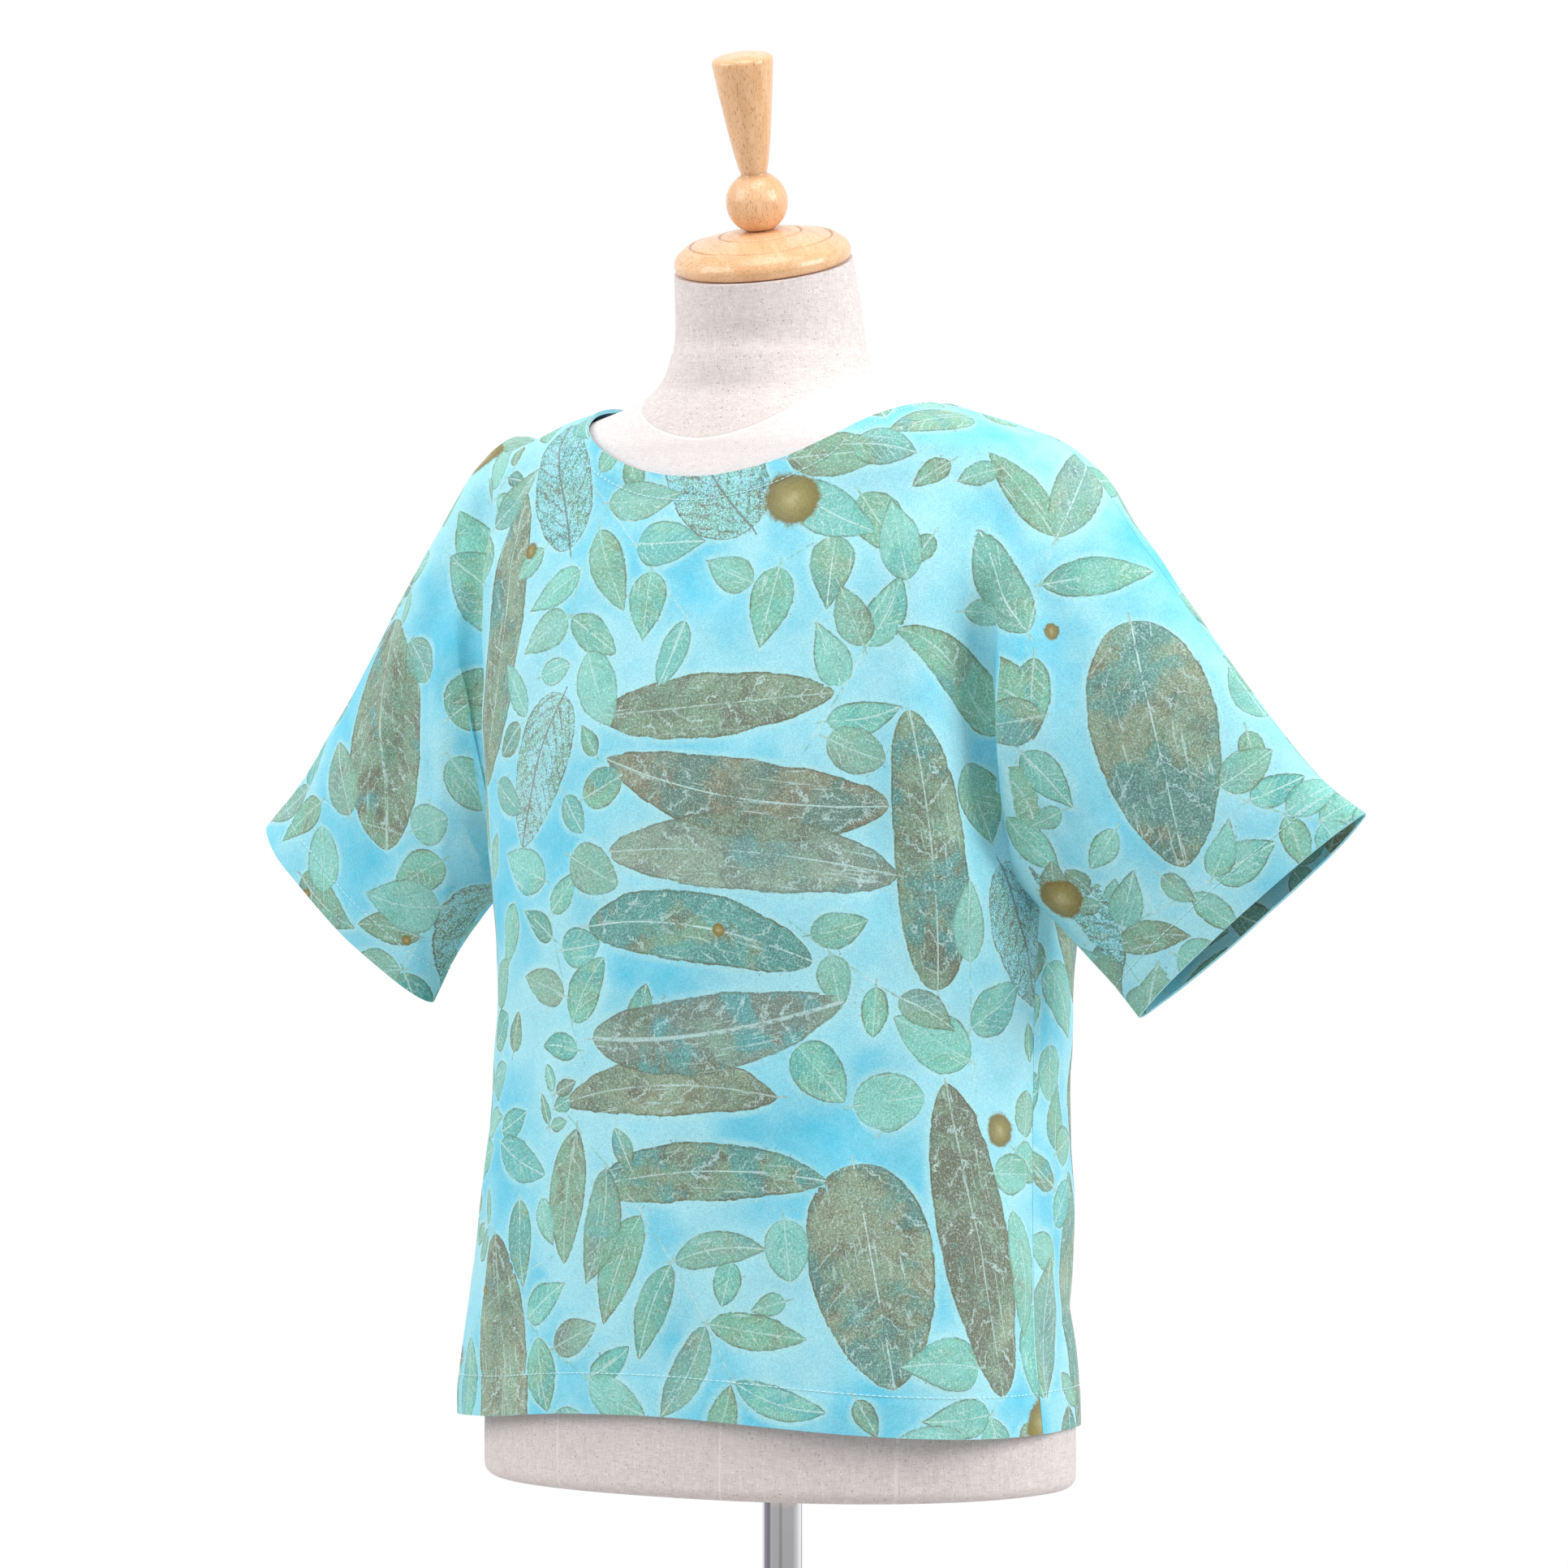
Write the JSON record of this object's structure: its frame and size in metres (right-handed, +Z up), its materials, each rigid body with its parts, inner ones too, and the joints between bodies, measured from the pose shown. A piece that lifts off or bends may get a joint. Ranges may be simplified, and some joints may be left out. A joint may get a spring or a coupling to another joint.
{
  "type": "blouse on a limbless dress form",
  "caption": "Boxy cut-on short-sleeve blouse with a wide round neck and a leaf print, worn on a limbless linen dress form with a wooden neck cap, steel pole and round base.",
  "frame": {"origin": "centre of the underside of the base plate, on the floor under the pole", "axes": "+Z up along the pole, -Y to the front of the blouse, +X to the wearer's left"},
  "size_m": [0.735, 0.34, 1.5728],
  "materials": {
    "printed_cotton": "matte plain weave, printed",
    "linen_cover": "matte flecked linen, stretched",
    "varnished_wood": "clear gloss varnish",
    "chromed_steel": "polished"
  },
  "bodies": {
    "root": {"front_panel": "printed_cotton", "back_panel": "printed_cotton", "torso": "linen_cover", "neck_cap": "varnished_wood", "finial": "varnished_wood", "pole": "chromed_steel", "base_plate": "chromed_steel"}
  },
  "joints": []
}
